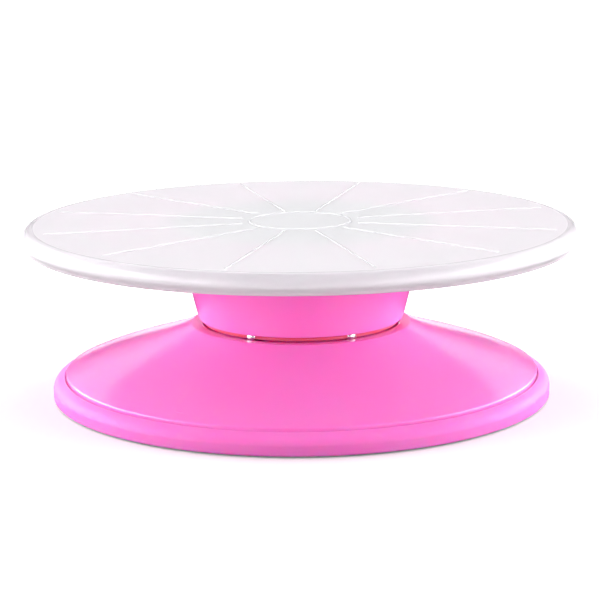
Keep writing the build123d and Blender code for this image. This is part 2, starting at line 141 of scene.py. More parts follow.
class Net:
    """A short way to write a procedural material round one Principled shader."""

    def __init__(self, name):
        self.mat = bpy.data.materials.new(name)
        self.mat.use_nodes = True
        self.tree = self.mat.node_tree
        self.tree.nodes.clear()
        out = add_node(self.tree, "ShaderNodeOutputMaterial")
        self.bsdf = add_node(self.tree, "ShaderNodeBsdfPrincipled")
        put(out.inputs["Surface"], self.bsdf.outputs["BSDF"])
        self.coords = self.signal("ShaderNodeTexCoord", "Object", {})

    def signal(self, kind, output, inputs, **settings):
        return Signal(add_node(self.tree, kind, inputs, **settings).outputs[output])

    def mapping(self, scale, turn=(0, 0, 0)):
        return self.signal("ShaderNodeMapping", "Vector",
                           {"Scale": scale, "Rotation": turn, "Vector": self.coords})

    def noise(self, scale, detail=3.0, rough=0.5, vector=None):
        return self.signal("ShaderNodeTexNoise", "Fac", {
            "Scale": scale, "Detail": detail, "Roughness": rough, "Vector": vector or self.coords})

    def cells(self, scale):
        return self.signal("ShaderNodeTexVoronoi", "Distance",
                           {"Scale": scale, "Vector": self.coords})

    def ramp(self, value, start, end, low=0.0, high=1.0):
        """Smooth step from low to high as value goes from start to end."""
        return self.signal("ShaderNodeMapRange", "Result", {
            "Value": value, "From Min": start, "From Max": end, "To Min": low, "To Max": high},
            interpolation_type="SMOOTHSTEP")

    def mix(self, amount, low, high):
        """Blend two colours, each a signal or (r, g, b)."""
        low, high = (v if isinstance(v, Signal) else (*v, 1.0) for v in (low, high))
        return self.signal("ShaderNodeMix", 2, {0: amount, 6: low, 7: high}, data_type="RGBA")

    def xyz(self):
        return [Signal(s) for s in
                add_node(self.tree, "ShaderNodeSeparateXYZ", {0: self.coords}).outputs]

    def radius(self):
        x, y, _ = self.xyz()
        return (x * x + y * y).unary("SQRT")

    def bump(self, height, strength, distance, over=None):
        inputs = {"Strength": strength, "Distance": distance, "Height": height}
        if over is not None:
            inputs["Normal"] = over
        return self.signal("ShaderNodeBump", "Normal", inputs)

    def surface(self, colour, rough, normal, **others):
        """Fill the shader; others are its inputs with _ for each space."""
        inputs = {"Base Color": colour, "Roughness": rough, "Normal": normal, **others}
        for key, value in inputs.items():
            put(self.bsdf.inputs[key.replace("_", " ")], value)
        return self.mat


# ------------------------------------------------------------------ materials
# In sums such as 0.30 + wear * 0.03 the first number is the plain surface's value and the
# factor is the most that the named effect adds to it.
def white_plastic():
    net = Net("white_plastic")
    cloud = net.noise(scale=9.0, detail=4, rough=0.55)
    speck = net.ramp(net.noise(scale=900.0, detail=2, rough=0.5), start=0.68, end=0.80)
    colour = net.mix(cloud, low=(0.555, 0.549, 0.574), high=(0.572, 0.566, 0.590))
    colour = net.mix(speck * 0.10, low=colour, high=(0.52, 0.505, 0.53))
    # fine circular scuffs left by turning under a palette knife
    radius = net.radius()
    across = net.signal("ShaderNodeCombineXYZ", 0, {0: radius * 900.0})
    turning = net.noise(scale=1.0, detail=5, rough=0.7, vector=across)
    patch = net.ramp(net.noise(scale=14.0, detail=3, rough=0.6), start=0.45, end=0.7)
    rough = 0.30 + turning * patch * 0.03
    # the tops and sides of the raised lines are worn rougher than the flat, and their colour is
    # painted darker as painted shade along the lines
    _, _, z = net.xyz()
    flat = PLATE_TOP * MM
    wear_and_painted_shade = net.ramp(z, start=flat + 0.00003, end=flat + 0.00020)
    # painted shade: the raised lines are darkened towards grey to stand in for their shaded edges
    colour = net.mix(wear_and_painted_shade * 0.90, low=colour, high=(0.36, 0.355, 0.372))
    # a matt top for grip, a polished shoulder and rim
    polish = net.ramp(radius, start=0.1332, end=0.1362)
    rough = rough + wear_and_painted_shade * 0.35
    rough = rough - polish * 0.12
    shine = 0.02 + polish * 0.46
    grain = net.noise(scale=1500.0, detail=3, rough=0.6)
    peel = net.noise(scale=120.0, detail=2, rough=0.5)
    normal = net.bump(grain, strength=0.10, distance=0.00003)
    normal = net.bump(peel, strength=0.04, distance=0.0001, over=normal)
    # thin and milky: some of the light falling on the top comes out below
    return net.surface(colour, rough, normal, IOR=1.46, Specular_IOR_Level=shine,
                       Subsurface_Weight=1.0, Subsurface_Scale=0.010,
                       Subsurface_Radius=(1.0, 0.95, 1.0))


def pink_plastic():
    net = Net("pink_plastic")
    cloud = net.noise(scale=7.0, detail=4, rough=0.5)
    colour = net.mix(cloud, low=(0.965, 0.190, 0.585), high=(0.985, 0.208, 0.620))
    streaks = net.noise(scale=16.0, detail=4, rough=0.65, vector=net.mapping(scale=(1, 1, 3.0)))
    smear = net.ramp(streaks, start=0.4, end=0.75)
    rough = 0.13 + smear * 0.09
    # the base ring comes from a satin tool
    _, _, z = net.xyz()
    outside = net.ramp(net.radius(), start=0.1206, end=0.1214)
    satin = outside * net.ramp(z, start=0.0110, end=0.0125, low=1.0, high=0.0)
    rough = rough + satin * 0.26
    peel = net.noise(scale=140.0, detail=2, rough=0.5)
    grain = net.noise(scale=1600.0, detail=2, rough=0.5)
    normal = net.bump(peel, strength=0.08, distance=0.0001)
    normal = net.bump(grain, strength=0.05, distance=0.00002, over=normal)
    shine = 0.5 - satin * 0.40
    # red light travels furthest in it, so shaded and thin places glow warm
    return net.surface(colour, rough, normal, IOR=1.49, Specular_IOR_Level=shine,
                       Subsurface_Weight=1.0, Subsurface_Scale=0.0022,
                       Subsurface_Radius=(1.0, 0.30, 0.60))


def coral_plastic():
    net = Net("coral_plastic")
    cloud = net.noise(scale=60.0, detail=3, rough=0.5)
    colour = net.mix(cloud, low=(0.95, 0.060, 0.150), high=(0.98, 0.080, 0.190))
    grain = net.noise(scale=1200.0, detail=3, rough=0.6)
    normal = net.bump(grain, strength=0.12, distance=0.00003)
    return net.surface(colour, 0.34 + net.noise(scale=90.0) * 0.14, normal, IOR=1.5,
                       Subsurface_Weight=1.0, Subsurface_Scale=0.004,
                       Subsurface_Radius=(1.0, 0.2, 0.35))


def natural_nylon():
    net = Net("natural_nylon")
    # fine rings round the axis
    wave = (net.radius() * 26000.0).unary("SINE")
    cloud = net.noise(scale=80.0, detail=3, rough=0.5)
    colour = net.mix(cloud, low=(0.80, 0.78, 0.70), high=(0.86, 0.845, 0.78))
    normal = net.bump(wave, strength=0.10, distance=0.00002)
    grain = net.noise(scale=700.0, detail=3, rough=0.6)
    normal = net.bump(grain, strength=0.10, distance=0.00003, over=normal)
    return net.surface(colour, 0.38 + net.noise(scale=120.0) * 0.15, normal, IOR=1.53,
                       Subsurface_Weight=0.0)


def polished_steel():
    net = Net("polished_steel")
    cloud = net.noise(scale=300.0, detail=3, rough=0.5)
    colour = net.mix(cloud, low=(0.66, 0.64, 0.66), high=(0.74, 0.72, 0.74))
    skewed = net.mapping(scale=(1, 6, 1), turn=(0.4, 0.7, 0.2))
    streaks = net.noise(scale=500.0, detail=4, rough=0.7, vector=skewed)
    scratch = net.ramp(streaks, start=0.62, end=0.72)
    rough = 0.24 + scratch * 0.12
    normal = net.bump(scratch, strength=0.12, distance=0.00001)
    return net.surface(colour, rough, normal, Metallic=1.0)


def ground_steel():
    net = Net("ground_steel")
    # stretched flat, so the grinding lines run round
    fine = net.noise(scale=1.0, detail=5, rough=0.7, vector=net.mapping(scale=(120, 120, 9000)))
    colour = net.mix(fine, low=(0.52, 0.52, 0.54), high=(0.66, 0.66, 0.67))
    rough = 0.24 + fine * 0.16
    normal = net.bump(fine, strength=0.18, distance=0.00002)
    return net.surface(colour, rough, normal, Metallic=1.0)


def zinc_steel():
    net = Net("zinc_steel")
    cell = net.cells(scale=900.0)
    tint = net.noise(scale=220.0, detail=4, rough=0.6)
    colour = net.mix(tint, low=(0.58, 0.60, 0.63), high=(0.70, 0.70, 0.68))
    edge = net.ramp(cell, start=0.0, end=0.9, low=0.0, high=0.22)
    colour = net.mix(edge, low=colour, high=(0.44, 0.46, 0.50))
    rough = 0.26 + net.noise(scale=500.0, detail=3, rough=0.6) * 0.18
    grain = net.noise(scale=2600.0, detail=3, rough=0.6)
    normal = net.bump(grain, strength=0.15, distance=0.00002)
    return net.surface(colour, rough, normal, Metallic=1.0)


def foot_rubber():
    net = Net("foot_rubber")
    # patchy dirt near the floor
    _, _, z = net.xyz()
    dirt = net.ramp(z, start=0.0, end=0.0016, low=1.0, high=0.0)
    patches = net.noise(scale=420.0, detail=4, rough=0.7)
    dirt = dirt * net.ramp(patches, start=0.35, end=0.7)
    cloud = net.noise(scale=200.0, detail=3, rough=0.5)
    colour = net.mix(cloud, low=(0.62, 0.60, 0.60), high=(0.70, 0.68, 0.68))
    colour = net.mix(dirt * 0.55, low=colour, high=(0.30, 0.28, 0.27))
    grain = net.noise(scale=2200.0, detail=4, rough=0.65)
    normal = net.bump(grain, strength=0.35, distance=0.00006)
    return net.surface(colour, 0.72 + dirt * 0.12, normal, IOR=1.5)


MATERIALS = {build.__name__: build() for build in (
    white_plastic, pink_plastic, coral_plastic, natural_nylon, polished_steel, ground_steel,
    zinc_steel, foot_rubber)}
SLOTS = {part["node"]: part["material_slot"] for part in frame["record"]["subparts"]}
BODIES = {node: body for body, nodes in frame["record"]["behaviour"]["bodies"].items()
          for node in nodes}

for name, node in frame["nodes"].items():
    for slot in node.material_slots:
        slot.material = MATERIALS[SLOTS[name]]


# ------------------------------------------------------------------ profile tools
def arc_through(start, middle, end, steps):
    """Points of the arc through three points, ends included."""
    (x1, y1), (x2, y2), (x3, y3) = start, middle, end
    square1, square2, square3 = x1**2 + y1**2, x2**2 + y2**2, x3**2 + y3**2
    double = 2 * (x1 * (y2 - y3) + x2 * (y3 - y1) + x3 * (y1 - y2))
    mid_x = (square1 * (y2 - y3) + square2 * (y3 - y1) + square3 * (y1 - y2)) / double
    mid_y = (square1 * (x3 - x2) + square2 * (x1 - x3) + square3 * (x2 - x1)) / double
    radius = math.hypot(x1 - mid_x, y1 - mid_y)
    first, via, last = (math.atan2(y - mid_y, x - mid_x) for x, y in (start, middle, end))
    while via < first:
        via += 2 * math.pi
    while last < first:
        last += 2 * math.pi
    if via > last:
        last -= 2 * math.pi
    angles = [first + (last - first) * i / steps for i in range(steps + 1)]
    return [(mid_x + radius * math.cos(a), mid_y + radius * math.sin(a)) for a in angles]


def spline(points, start, end, steps=6):
    """Smooth curve through points with the given end directions, in steps a span."""
    spans = [math.hypot(b[0] - a[0], b[1] - a[1]) for a, b in zip(points, points[1:])]
    last = len(points) - 1
    slopes = []
    for axis in (0, 1):
        value = [p[axis] for p in points]
        slope = [start[axis] / math.hypot(*start)] + [0.0] * (last - 1)
        slope.append(end[axis] / math.hypot(*end))
        # even curvature at the inner points: a tridiagonal system, solved down then up
        diagonal, target = [], []
        for i in range(1, last):
            before, after = spans[i - 1], spans[i]
            main = 2 * (before + after)
            goal = 3 * (after * (value[i] - value[i - 1]) / before
                        + before * (value[i + 1] - value[i]) / after)
            if i == 1:
                goal -= after * slope[0]
            if i == last - 1:
                goal -= before * slope[last]
            if i > 1:
                factor = after / diagonal[-1]
                main -= factor * spans[i - 2]
                goal -= factor * target[-1]
            diagonal.append(main)
            target.append(goal)
        for i in range(last - 1, 0, -1):
            beyond = spans[i - 1] * slope[i + 1] if i < last - 1 else 0.0
            slope[i] = (target[i - 1] - beyond) / diagonal[i - 1]
        slopes.append(slope)
    out = []
    for i, span in enumerate(spans):
        for step in range(steps if i < last - 1 else steps + 1):
            t = step / steps
            from_a, slope_a = 2 * t**3 - 3 * t**2 + 1, t**3 - 2 * t**2 + t
            from_b, slope_b = -2 * t**3 + 3 * t**2, t**3 - t**2
            out.append(tuple(
                from_a * points[i][q] + slope_a * span * slopes[q][i]
                + from_b * points[i + 1][q] + slope_b * span * slopes[q][i + 1]
                for q in (0, 1)))
    return out


def outline(*items):
    """A line of (r, z) points. (r, z, radius) rounds that corner; a list is a run of points.

    It is closed unless both ends are on the axis."""
    flat = []
    for item in items:
        flat.extend(item if isinstance(item, list) else [item])
    closed = not (flat[0][0] == 0 and flat[-1][0] == 0)
    steps = 5
    out = []
    for i, point in enumerate(flat):
        if len(point) == 2 or (not closed and i in (0, len(flat) - 1)):
            out.append((point[0], point[1]))
            continue
        before, after = flat[i - 1], flat[(i + 1) % len(flat)]
        back = Vector((before[0] - point[0], before[1] - point[1]))
        ahead = Vector((after[0] - point[0], after[1] - point[1]))
        back_length, ahead_length = back.length, ahead.length
        back.normalize()
        ahead.normalize()
        half = back.angle(ahead) / 2
        cut = min(point[2] / math.tan(half), back_length * 0.48, ahead_length * 0.48)
        radius = cut * math.tan(half)
        corner = Vector(point[:2])
        centre = corner + (back + ahead).normalized() * (radius / math.sin(half))
        start, end = corner + back * cut - centre, corner + ahead * cut - centre
        for step in range(steps + 1):
            spoke = start.lerp(end, step / steps).normalized() * radius
            out.append((centre.x + spoke.x, centre.y + spoke.y))
    clean = [out[0]]
    for point in out[1:]:
        if math.hypot(point[0] - clean[-1][0], point[1] - clean[-1][1]) > 1e-4:
            clean.append(point)
    if closed and math.hypot(clean[0][0] - clean[-1][0], clean[0][1] - clean[-1][1]) < 1e-4:
        clean.pop()
    return clean


def inset(points, depth):
    """A line moved square to itself, towards its underside if it runs outwards."""
    moved = []
    for i, (r, z) in enumerate(points):
        before, after = points[max(i - 1, 0)], points[min(i + 1, len(points) - 1)]
        dr, dz = after[0] - before[0], after[1] - before[1]
        length = math.hypot(dr, dz)
        moved.append((r + depth * dz / length, z - depth * dr / length))
    return moved


def where(points, axis, level):
    """The other coordinate of the line where its axis coordinate reaches level."""
    other = 1 - axis
    for a, b in zip(points, points[1:]):
        if min(a[axis], b[axis]) <= level <= max(a[axis], b[axis]):
            return a[other] + (b[other] - a[other]) * (level - a[axis]) / (b[axis] - a[axis])


def race(edge, bottom):
    """Points across a ball groove from its inner to its outer edge."""
    return arc_through((RACE_PITCH - RACE_HALF, edge), (RACE_PITCH, bottom),
                       (RACE_PITCH + RACE_HALF, edge), 14)


def around(radius, angle):
    return radius * math.cos(math.radians(angle)), radius * math.sin(math.radians(angle))


# ------------------------------------------------------------------ mesh tools
def mesh_object(name, verts, faces):
    mesh = bpy.data.meshes.new(name)
    mesh.from_pydata([(x * MM, y * MM, z * MM) for x, y, z in verts], [], faces)
    bm = bmesh.new()
    bm.from_mesh(mesh)
    bmesh.ops.recalc_face_normals(bm, faces=bm.faces)
    bm.to_mesh(mesh)
    bm.free()
    return scene_object(name, mesh)


def scene_object(name, data):
    obj = bpy.data.objects.new(name, data)
    bpy.context.scene.collection.objects.link(obj)
    return obj


def turned(name, profile, sides=180, centre=(0.0, 0.0), place=None):
    """A body of revolution. place(r, z, j) may give each point of column j its own x, y, z."""
    poles = profile[0][0] == 0 and profile[-1][0] == 0
    rows = profile[1:-1] if poles else profile
    verts, faces = [], []
    for r, z in rows:
        for j in range(sides):
            if place:
                verts.append(place(r, z, j))
            else:
                a = 2 * math.pi * j / sides
                verts.append((centre[0] + r * math.cos(a), centre[1] + r * math.sin(a), z))
    count = len(rows)
    for i in range(count - 1 if poles else count):
        row, above = i * sides, (i + 1) % count * sides
        for j in range(sides):
            k = (j + 1) % sides
            faces.append((row + j, row + k, above + k, above + j))
    if poles:
        for row, z, keep in ((0, profile[0][1], -1), (count - 1, profile[-1][1], 1)):
            verts.append((centre[0], centre[1], z))
            for j in range(sides):
                face = (len(verts) - 1, row * sides + j, row * sides + (j + 1) % sides)
                faces.append(face[::keep])
    return mesh_object(name, verts, faces)


def cylinder(name, radius, z0, z1, sides, centre):
    return turned(name, [(0, z0), (radius, z0), (radius, z1), (0, z1)], sides, centre)


def boss(name, foot, end, corner, sides, centre=(0.0, 0.0)):
    """A drafted peg between (r, z) at its lower foot, with a rounded edge, and (r, z) above."""
    return turned(name, outline((0, foot[1]), (*foot, corner), end, (0, end[1])), sides, centre)


def fin(name, side, angle, wide, narrow):
    """An upright rib on a side view of (r, z).

    Its thickness tapers with height between wide and narrow, each (thickness, z)."""
    verts, faces = [], []
    cos, sin = math.cos(math.radians(angle)), math.sin(math.radians(angle))
    for sign in (-1, 1):
        for r, z in side:
            t = min(max((z - narrow[1]) / (wide[1] - narrow[1]), 0.0), 1.0)
            y = sign * 0.5 * (narrow[0] + (wide[0] - narrow[0]) * t)
            verts.append((r * cos - y * sin, r * sin + y * cos, z))
    count = len(side)
    faces.append(tuple(range(count)))
    faces.append(tuple(range(2 * count - 1, count - 1, -1)))
    for i in range(count):
        j = (i + 1) % count
        faces.append((i, i + count, j + count, j))
    return mesh_object(name, verts, faces)


def block(name, shape, z0, z1, angle=0.0, shrink=1.0):
    """An upright prism on a flat (x, y) shape, its top scaled by shrink."""
    cos, sin = math.cos(math.radians(angle)), math.sin(math.radians(angle))
    verts = []
    for z, scale in ((z0, 1.0), (z1, shrink)):
        for x, y in shape:
            x, y = x * scale, y * scale
            verts.append((x * cos - y * sin, x * sin + y * cos, z))
    count = len(shape)
    faces = [tuple(range(count))[::-1], tuple(range(count, 2 * count))]
    faces += [(i, (i + 1) % count, (i + 1) % count + count, i + count) for i in range(count)]
    return mesh_object(name, verts, faces)


def combine(first, others, how):
    """first UNION or DIFFERENCE each of the others, which are used up."""
    for other in others:
        mod = first.modifiers.new("b", "BOOLEAN")
        mod.operation = how
        mod.solver = "MANIFOLD"
        mod.object = other
    bpy.context.view_layer.update()
    depsgraph = bpy.context.evaluated_depsgraph_get()
    mesh = bpy.data.meshes.new_from_object(first.evaluated_get(depsgraph))
    first.modifiers.clear()
    first.data = mesh
    for other in others:
        bpy.data.objects.remove(other)
    return first


def moulding(name, skin, adds, cuts, node, body, slot):
    """A finished piece: the skin, its ribs and bosses in one closed body, less its holes."""
    combine(skin, [combine(adds[0], adds[1:], "UNION")], "UNION")
    combine(skin, [combine(cuts[0], cuts[1:], "UNION")], "DIFFERENCE")
    finish(name, skin, node, body, slot, sharp=32.0)


def finish(name, obj, node, body, slot, sharp):
    """Clean and shade a piece (sharp in degrees) and let it stand for its CAD node."""
    obj.name = name
    bm = bmesh.new()
    bm.from_mesh(obj.data)
    bmesh.ops.remove_doubles(bm, verts=bm.verts, dist=2e-7)
    bmesh.ops.dissolve_degenerate(bm, edges=bm.edges, dist=1e-7)
    bmesh.ops.recalc_face_normals(bm, faces=bm.faces)
    bm.to_mesh(obj.data)
    bm.free()
    obj.data.polygons.foreach_set("use_smooth", [True] * len(obj.data.polygons))
    obj.data.set_sharp_from_angle(angle=math.radians(sharp))
    mod = obj.modifiers.new("weighted", "WEIGHTED_NORMAL")
    mod.keep_sharp = True
    mod.weight = 60
    obj.data.materials.clear()
    obj.data.materials.append(MATERIALS[slot])
    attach(obj, body)
    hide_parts(node)


# ------------------------------------------------------------------ turntable plate
LINE_FLAT, LINE_SOFT = 0.36, 0.31        # half width of a line's flat top, then of its edge
LINE_START, LINE_END = 30.66, 129.34     # radii between which a radial line is full height
LINE_RING = 25.5                         # radius of the raised ring round the middle
LINE_COUNT = 12
BETWEEN = 16                             # columns of points between two radial lines
# radii of the point rows on the top, outside the raised ring and within it
TOP_ROWS = [
    134.0, 132.5, 131.0, 130.2, 130.0, 129.87, 129.74, 129.60, 129.45, 129.3, 129.0, 127.0,
    120.0, 110.0, 100.0, 90.0, 80.0, 70.0, 60.0, 50.0, 42.0, 36.0, 32.5, 31.2, 31.0, 30.7,
    30.55, 30.40, 30.26, 30.13, 30.0, 29.8, 28.6, 27.2]
CENTRE_ROWS = [23.5, 20.0, 15.0, 10.0, 6.0, 3.0]


def across_line(edge):
    """Offsets of points across a raised line, out to edge on both sides."""
    half = [0.30, 0.38, 0.46, 0.53, 0.60, 0.67, edge]
    return [-d for d in reversed(half)] + [0.0] + half


def line_height(distance):
    """Height of a raised line at a distance from its middle, with soft edges."""
    fall = min(max((distance - LINE_FLAT) / LINE_SOFT, 0.0), 1.0)
    return LINE_HEIGHT * (1 - fall**2 * (3 - 2 * fall))


def plate_skin():
    top = PLATE_TOP
    lane = across_line(0.80)
    per_line = len(lane) + BETWEEN
    pitch = 360 / LINE_COUNT

    def angle(r, j):
        """Columns keep a fixed distance from each radial line, and share the gap evenly."""
        sector, k = divmod(j, per_line)
        middle = math.radians(pitch / 2 + pitch * sector)
        reach = min(max(r, 29.0), 131.0)
        if k < len(lane):
            return middle + math.asin(lane[k] / reach)
        start = math.asin(lane[-1] / reach)
        end = math.radians(pitch) + math.asin(lane[0] / reach)
        return middle + start + (end - start) * (k - len(lane) + 1) / (BETWEEN + 1)

    def place(r, z, j):
        a = angle(r, j)
        height = 0.0
        if z == top and r < 134.5:
            k = j % per_line
            side = lane[k] if k < len(lane) else 2.0     # 2.0 is clear of any line
            along = max(LINE_START - r, r - LINE_END, 0.0)
            height = max(line_height(math.hypot(side, along)), line_height(abs(r - LINE_RING)))
        return (r * math.cos(a), r * math.sin(a), z + height)

    under = [(r, PLATE_UNDER) for r in (0, 4, 20, 45, 70, 95, 118)]
    inner = spline([(133.8, PLATE_UNDER), (PLATE_R - 2.6, top - 6.0)], (1, 0), (0, -1), 10)
    inner += spline([(PLATE_R - 2.6, top - 6.0), (135.5, top - 9.0)], (0, -1), (-0.3, -1), 6)[1:]
    lip = arc_through((135.5, top - 9.0), (136.8, top - 10.3), (138.1, top - 9.0), 12)[1:]
    rim = spline([(138.1, top - 9.0), (PLATE_R, top - 5.6)], (0.35, 1), (0, 1), 8)[1:]
    shoulder = spline([(PLATE_R, top - 5.6), (138.6, top - 1.6), (135.2, top)],
                      (0, 1), (-1, 0), 12)[1:]
    rows = TOP_ROWS + [LINE_RING - d for d in across_line(0.90)] + CENTRE_ROWS + [0]
    profile = under + inner + lip + rim + shoulder + [(r, top) for r in rows]
    return turned("plate_skin", profile, LINE_COUNT * per_line, place=place)


def plate():
    top = PLATE_TOP
    root = top - PLATE_THICK / 2             # ribs and bosses start inside the plate
    adds, cuts = [], []
    # stiffening ribs under the top, drafted, each running into the rim wall
    rib_low = top - 7.2
    rib = [(66.0, rib_low), (66.0, root), (134.6, root), (137.4, top - 3.2),
           (138.5, top - 5.6), (137.0, rib_low)]
    for i in range(12):
        adds.append(fin("rib", rib, 30 * i, wide=(2.0, root), narrow=(1.5, rib_low)))
    # ring ribs: middle radius, thickness, depth below the top
    for radius, thick, depth in ((65.9, 2.2, 6.8), (89.0, 1.8, 6.8), (112.0, 1.8, 6.8),
                                 (58.9, 2.0, 6.3)):
        inner, outer = radius - thick / 2, radius + thick / 2
        adds.append(turned("ring", outline(
            (inner, root), (inner + 0.12, top - depth, 0.3),
            (outer - 0.12, top - depth, 0.3), (outer, root))))
    spoke_low = top - 6.3
    spoke = [(7.0, spoke_low), (7.0, root), (58.9, root), (58.9, spoke_low)]
    pilot = outline((0, JOINT_Z - 1), (2.25, JOINT_Z - 1), (2.25, 75.05), (1.95, 75.45),
                    (1.95, 84.0), (0, 84.4))
    for i in range(6):
        adds.append(fin("spoke", spoke, 60 * i, wide=(2.1, root), narrow=(1.7, spoke_low)))
        centre = around(POST_CIRCLE, 60 * i)
        adds.append(boss("boss", (6.0, JOINT_Z), (6.12, root), 0.35, 48, centre))
        cuts.append(turned("pilot", pilot, 32, centre))
        # round marks of the ejector pins: radius, angle
        for radius, offset in ((48.0, 30), (100.0, 15), (100.0, 45), (124.0, 15), (124.0, 45)):
            cuts.append(cylinder("pin", 3.0, top - 3.6, top - 2.68, 28,
                                 around(radius, 60 * i + offset)))
    # the stub where the plastic was fed in
    adds.append(boss("gate", (1.3, top - 4.2), (2.2, root), 0.4, 28))
    moulding("plate_moulding", plate_skin(), adds, cuts, "turntable_plate", "rotor",
             "white_plastic")


# ------------------------------------------------------------------ collar
COLLAR_R = 51.99                             # outer radius at the lowest edge
COLLAR_LEAN = 0.257                          # radius gained per unit of height
COLLAR_WALL = 2.4 * math.hypot(1, COLLAR_LEAN)   # measured level
SEAT_R, SEAT_FLAT = 9.1, 7.6                 # round seat with two flats


def collar_r(z):
    return COLLAR_R + COLLAR_LEAN * (z - COLLAR_LOW)


def seat_shape():
    """The seat circle cut by flats at y = +-SEAT_FLAT, each flat keeping its first point."""
    shape = []
    for i in range(96):
        x, y = SEAT_R * math.cos(i * math.pi / 48), SEAT_R * math.sin(i * math.pi / 48)
        if abs(y) > SEAT_FLAT:
            y = math.copysign(SEAT_FLAT, y)
            if shape[-1][1] == y:
                continue
        shape.append((x, y))
    return shape


def collar():
    low, top = COLLAR_LOW, PLATE_UNDER
    floor, race_floor = low + 2.6, low + 4.0
    heights = [low + 1.6 + (top - low - 1.9) * i / 14 for i in range(15)]
    skin = turned("collar_skin", outline(
        (0, 56.0), (5.02, 56.0), (5.02, low), race(low, BALL_Z + RACE_DEPTH),
        (COLLAR_R, low, 1.0), [(collar_r(z), z) for z in heights],
        (collar_r(top), top, 0.25), (collar_r(top) - COLLAR_WALL, top, 0.25),
        (collar_r(race_floor) - COLLAR_WALL, race_floor, 0.8),
        (42.9, race_floor, 0.4), (41.5, floor, 0.4), (13.0, floor, 0.8), (12.6, 60.0, 0.4),
        (0, 60.0)), 240)
    adds, cuts = [], []
    root = floor - 0.4

    def web(name, angle, inner, web_top):
        side = [(inner, root), (collar_r(root) - COLLAR_WALL * 0.5, root),
                (collar_r(web_top) - COLLAR_WALL * 0.5, web_top), (inner, web_top)]
        adds.append(fin(name, side, angle, wide=(2.3, root), narrow=(1.8, web_top)))

    post = outline((0, floor - 1.0), (6.15, floor - 1.0), (6.0, JOINT_Z, 0.3), (0, JOINT_Z))
    bore = outline((0, low - 1), (4.4, low - 1), (4.4, low), (4.2, low + 0.3),
                   (4.2, POST_SEAT), (2.2, POST_SEAT), (2.2, JOINT_Z + 1), (0, JOINT_Z + 1))
    for i in range(12):
        web("web", 30 * i, 11.5, floor + 8.6)
    for i in range(6):
        web("tall_web", 60 * i, 38.0, root + 22.0)
        centre = around(POST_CIRCLE, 60 * i)
        adds.append(turned("post", post, 48, centre))
        cuts.append(turned("bore", bore, 40, centre))
    cuts.append(block("seat", seat_shape(), low - 1.0, low + 2.5))
    moulding("collar_moulding", skin, adds, cuts, "neck_collar", "rotor", "pink_plastic")


# ------------------------------------------------------------------ cone cover
# outer surface between the deck and the edge: r, z
FLANK = [(60.0, 34.16), (65.4, 31.77), (71.0, 29.61), (76.6, 27.65), (82.2, 25.82),
         (87.9, 24.06), (93.5, 22.32), (99.2, 20.55), (104.8, 18.69), (110.4, 16.68),
         (115.9, 14.47)]
COVER_WALL = 2.4
EDGE_TOP = 12.62         # height where the flank meets the upright edge
WEB_LOW = 19.5           # lower side of the webs


def cover():
    edge = radius_of("base_shell")
    low = bottom_of("base_shell")
    outside = [(55.8, DECK)] + FLANK + [(edge, EDGE_TOP)]
    middle, back = inset(outside, COVER_WALL / 2)[1:], inset(outside, COVER_WALL)
    outer = spline(outside, (1, -0.52), (1, -0.48), 5)
    # soft corner at the deck and a fine one at the edge, cut into the run of points
    outer = [p for p in outer if 57.3 < p[0] < edge - 1.3]
    inner = spline([(edge - 2.6, back[-1][1] + 0.6)] + back[1:-1][::-1], (-1, 0.55), (-1, 0.6), 3)
    skin = turned("cover_skin", outline(
        (8.0, 18.8), (12.6, 18.8, 0.3), (13.0, DECK - 2.6, 0.8), (41.5, DECK - 2.6, 0.4),
        (42.9, DECK - 3.8, 0.4), (53.8, DECK - 3.8), inner[::-1], (edge - 2.6, low, 0.25),
        (edge, low, 0.25), (edge, EDGE_TOP, 1.2), outer[::-1], (55.8, DECK, 3.0),
        race(DECK, BALL_Z - RACE_DEPTH)[::-1], (8.3, DECK, 0.1), (8.0, DECK - 0.3)), 300)
    adds, cuts = [], []

    # webs end in the middle of the flank's wall
    web_outer = [p for p in middle if p[1] > 19.9] + [(where(middle, 1, WEB_LOW), WEB_LOW)]
    long_web = [(12.2, WEB_LOW), (12.2, DECK - 1.9), (40.5, DECK - 1.9), (42.0, DECK - 3.0),
                (53.2, DECK - 3.0)] + web_outer
    short_start = 69.8
    short_web = [(short_start, WEB_LOW), (short_start, where(middle, 0, short_start))]
    short_web += [p for p in web_outer if p[0] > short_start]
    pilot = outline((0, low - 1), (1.75, low - 1), (1.75, low), (1.45, low + 0.35),
                    (1.45, 12.7), (0, 12.95))
    pin_wall = 24.03 - COVER_WALL            # underside of the wall at the pin marks
    for i in range(6):
        adds.append(fin("web", long_web, 30 + 60 * i, wide=(2.3, DECK), narrow=(1.8, WEB_LOW)))
        adds.append(fin("web", short_web, 60 * i, wide=(2.1, DECK), narrow=(1.6, WEB_LOW)))
        centre = around(COVER_CIRCLE, 60 * i)
        adds.append(boss("boss", (3.4, low), (3.55, 15.2), 0.25, 40, centre))
        cuts.append(turned("pilot", pilot, 28, centre))
        for offset in (15, 45):
            cuts.append(cylinder("pin", 2.6, pin_wall - 3.0, pin_wall - 0.35, 24,
                                 around(88.0, 60 * i + offset)))
    adds.append(turned("ring", outline(
        (69.2, WEB_LOW, 0.3), (71.0, WEB_LOW, 0.3), (71.1, 28.2), (69.1, 28.9)), 240))
    moulding("base_cover_moulding", skin, adds, cuts, "base_shell", "base", "pink_plastic")


